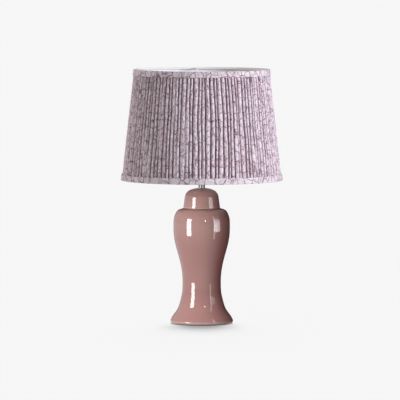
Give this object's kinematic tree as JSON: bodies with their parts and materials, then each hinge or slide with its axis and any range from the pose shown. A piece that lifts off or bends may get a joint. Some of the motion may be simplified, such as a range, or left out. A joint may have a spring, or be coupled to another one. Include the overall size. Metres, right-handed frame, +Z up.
{
  "type": "table lamp",
  "caption": "Ginger jar table lamp: glazed ceramic jar and lid on a flared foot, lampholder and bulb on a rod, gathered cloth shade that lifts off a wire carrier.",
  "frame": {"origin": "centre of the felt's underside, on the surface that the lamp stands on", "axes": "+Z up along the rod; +Y towards the back, where the cord inlet is; +X to the right, along the push bar of the switch"},
  "size_m": [0.35, 0.35, 0.5503],
  "materials": {
    "felt": "matte",
    "glaze": "gloss",
    "rubber": "matte",
    "gasket": "matte",
    "zinc": "satin",
    "clear_washer": "gloss",
    "nickel": "polished",
    "porcelain": "satin",
    "brass": "satin",
    "black_plastic": "gloss",
    "solder": "satin",
    "black_glass": "gloss",
    "white_plastic": "satin",
    "opal": "satin",
    "white_paint": "satin",
    "lining": "matte",
    "printed_cloth": "matte"
  },
  "bodies": {
    "base": {"felt_pad": "felt", "jar": "glaze", "cord_grommet": "rubber", "lid_gasket": "gasket", "lid": "glaze", "floor_washer": "rubber", "plate_washer": "zinc", "rod_nut": "zinc", "threaded_rod": "zinc", "neck_washer": "clear_washer", "neck_tube": "nickel", "lock_nut": "nickel", "holder_cap": "nickel", "holder_shell": "nickel", "holder_core": "porcelain", "screw_shell": "brass", "centre_contact": "brass", "terminal_screws": "brass"},
    "push_switch": {"push_bar": "black_plastic", "push_buttons": "black_plastic"},
    "lower_ring": {"lower_shade_ring": "nickel"},
    "upper_ring": {"upper_shade_ring": "nickel"},
    "carrier": {"carrier_gallery": "nickel", "carrier_arms": "nickel", "carrier_ring": "nickel"},
    "bulb": {"bulb_tip": "solder", "bulb_insulator": "black_glass", "bulb_cap": "nickel", "bulb_collar": "white_plastic", "bulb_globe": "opal"},
    "shade": {"shade_top_ring": "white_paint", "shade_bottom_ring": "white_paint", "fitter_ring": "white_paint", "spider_arms": "white_paint", "shade_lining": "lining", "shade_cover": "printed_cloth", "bottom_band": "printed_cloth", "top_band": "printed_cloth"}
  },
  "joints": [
    {"name": "switch_push", "type": "slide", "parent": "base", "child": "push_switch", "axis": [1, 0, 0], "range_m": [0, 0.005]},
    {"name": "lower_ring_turn", "type": "hinge", "parent": "base", "child": "lower_ring", "pos_m": [0, 0, 0.357], "axis": [0, 0, 1], "range_deg": [0, 720]},
    {"name": "upper_ring_turn", "type": "hinge", "parent": "base", "child": "upper_ring", "pos_m": [0, 0, 0.365], "axis": [0, 0, 1], "range_deg": [0, 720]},
    {"name": "carrier_turn", "type": "hinge", "parent": "base", "child": "carrier", "pos_m": [0, 0, 0.361], "axis": [0, 0, 1], "continuous": true},
    {"name": "bulb_turn", "type": "hinge", "parent": "base", "child": "bulb", "pos_m": [0, 0, 0.38], "axis": [0, 0, 1], "range_deg": [0, 1440]},
    {"name": "shade_lift", "type": "slide", "parent": "carrier", "child": "shade", "axis": [0, 0, 1], "range_m": [0, 0.2]}
  ]
}
